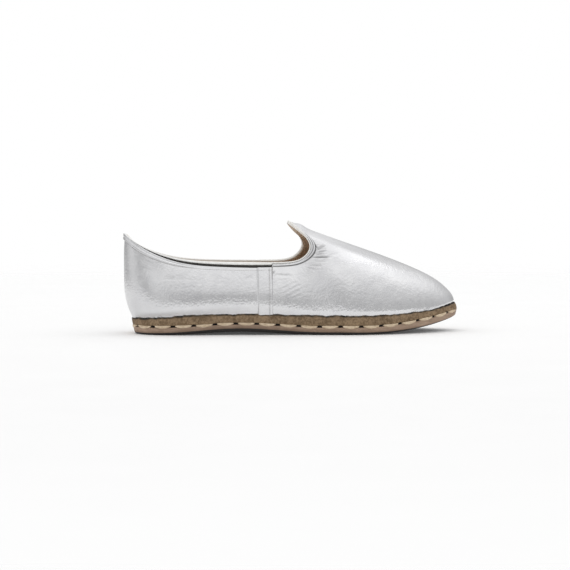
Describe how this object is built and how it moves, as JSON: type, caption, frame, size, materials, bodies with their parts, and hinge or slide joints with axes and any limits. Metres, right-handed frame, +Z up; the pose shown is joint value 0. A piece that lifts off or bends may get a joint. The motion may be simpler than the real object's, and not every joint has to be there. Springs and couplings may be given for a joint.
{
  "type": "flat slip-on shoe",
  "caption": "Low flat slip-on shoe in silver leather with a raised peak at the throat and heel, a tan rand and a hand-sewn leather sole.",
  "frame": {"origin": "on the floor under the middle of the shoe's box", "axes": "+X from heel to toe, +Z up, -Y towards the outer side of the right foot"},
  "size_m": [0.258, 0.084, 0.0846],
  "materials": {
    "sole_leather": "waxed cut edge, satin",
    "insole_leather": "undyed, matt",
    "silver_leather": "silver foil, soft gloss",
    "rand_leather": "fibrous khaki tan, matt",
    "binding_leather": "pale rolled edge, satin"
  },
  "bodies": {
    "root": {"outsole": "sole_leather", "insole": "insole_leather", "upper": "silver_leather", "rand": "rand_leather", "topline_binding": "binding_leather"}
  },
  "joints": []
}
